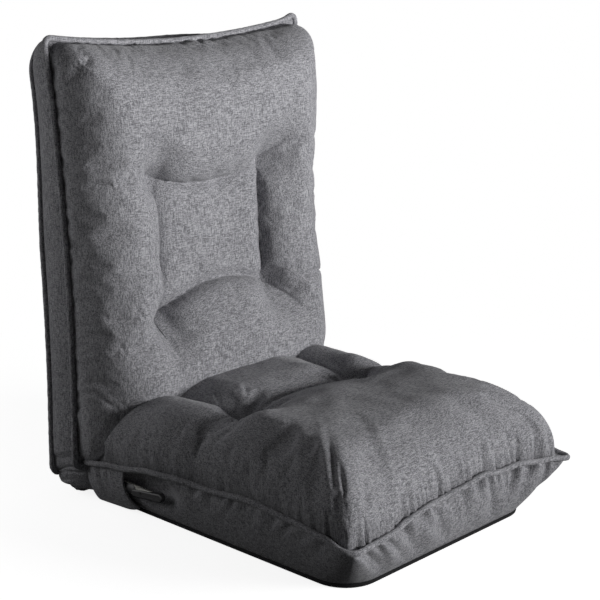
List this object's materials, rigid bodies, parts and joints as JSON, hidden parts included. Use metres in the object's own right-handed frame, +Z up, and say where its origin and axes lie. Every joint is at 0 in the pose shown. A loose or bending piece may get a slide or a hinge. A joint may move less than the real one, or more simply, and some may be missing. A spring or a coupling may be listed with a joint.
{
  "type": "folding floor chair",
  "caption": "Legless padded floor chair: tufted seat on a flat black base, tufted back on ratchet hinges that reclines flat, side release lever.",
  "frame": {"origin": "on the floor, under the middle of the seat's black base", "axes": "+Z up, -Y towards the front of the seat, the release lever on the sitter's right at -X"},
  "size_m": [0.5828, 0.7155, 0.783],
  "materials": {
    "linen_fabric": "matte",
    "piping_fabric": "matte",
    "black_base_cloth": "matte",
    "felt": "matte",
    "foam": "matte",
    "frame_paint": "satin",
    "zinc_steel": "satin",
    "grip_plastic": "satin"
  },
  "bodies": {
    "seat": {"base_cloth": "black_base_cloth", "felt_pad": "felt", "seat_band": "linen_fabric", "lever_flap": "linen_fabric", "seat_cushion": "linen_fabric", "seat_piping": "piping_fabric", "seat_foam": "foam", "seat_frame": "frame_paint", "seat_cross_tubes": "frame_paint", "hinge_plate_outer_left": "zinc_steel", "hinge_plate_outer_right": "zinc_steel", "hinge_plate_inner_left": "zinc_steel", "hinge_plate_inner_right": "zinc_steel", "pivot_bolts": "zinc_steel", "spacer_rivets": "zinc_steel", "plate_rivets": "zinc_steel", "return_spring": "zinc_steel"},
    "back": {"back_band": "linen_fabric", "back_cushion": "linen_fabric", "back_panel": "linen_fabric", "back_piping_front": "piping_fabric", "back_piping_rear": "piping_fabric", "back_foam": "foam", "back_frame": "frame_paint", "back_cross_tubes": "frame_paint", "ratchet_sector_left": "zinc_steel", "ratchet_sector_right": "zinc_steel", "sector_rivets": "zinc_steel", "hinge_roll": "linen_fabric"},
    "release": {"release_shaft": "zinc_steel", "shaft_clips": "zinc_steel", "pawl_left": "zinc_steel", "pawl_right": "zinc_steel", "lever_arm": "zinc_steel", "lever_grip": "grip_plastic"}
  },
  "joints": [
    {"name": "back_recline", "type": "hinge", "parent": "seat", "child": "back", "pos_m": [0, 0.325, 0.038], "axis": [1, 0, 0], "range_deg": [-87.88, 0]},
    {"name": "release_lever", "type": "hinge", "parent": "seat", "child": "release", "pos_m": [0, 0.27344, 0.05348], "axis": [-1, 0, 0], "range_deg": [0, 5.5], "stiffness_Nm_per_rad": 8}
  ]
}
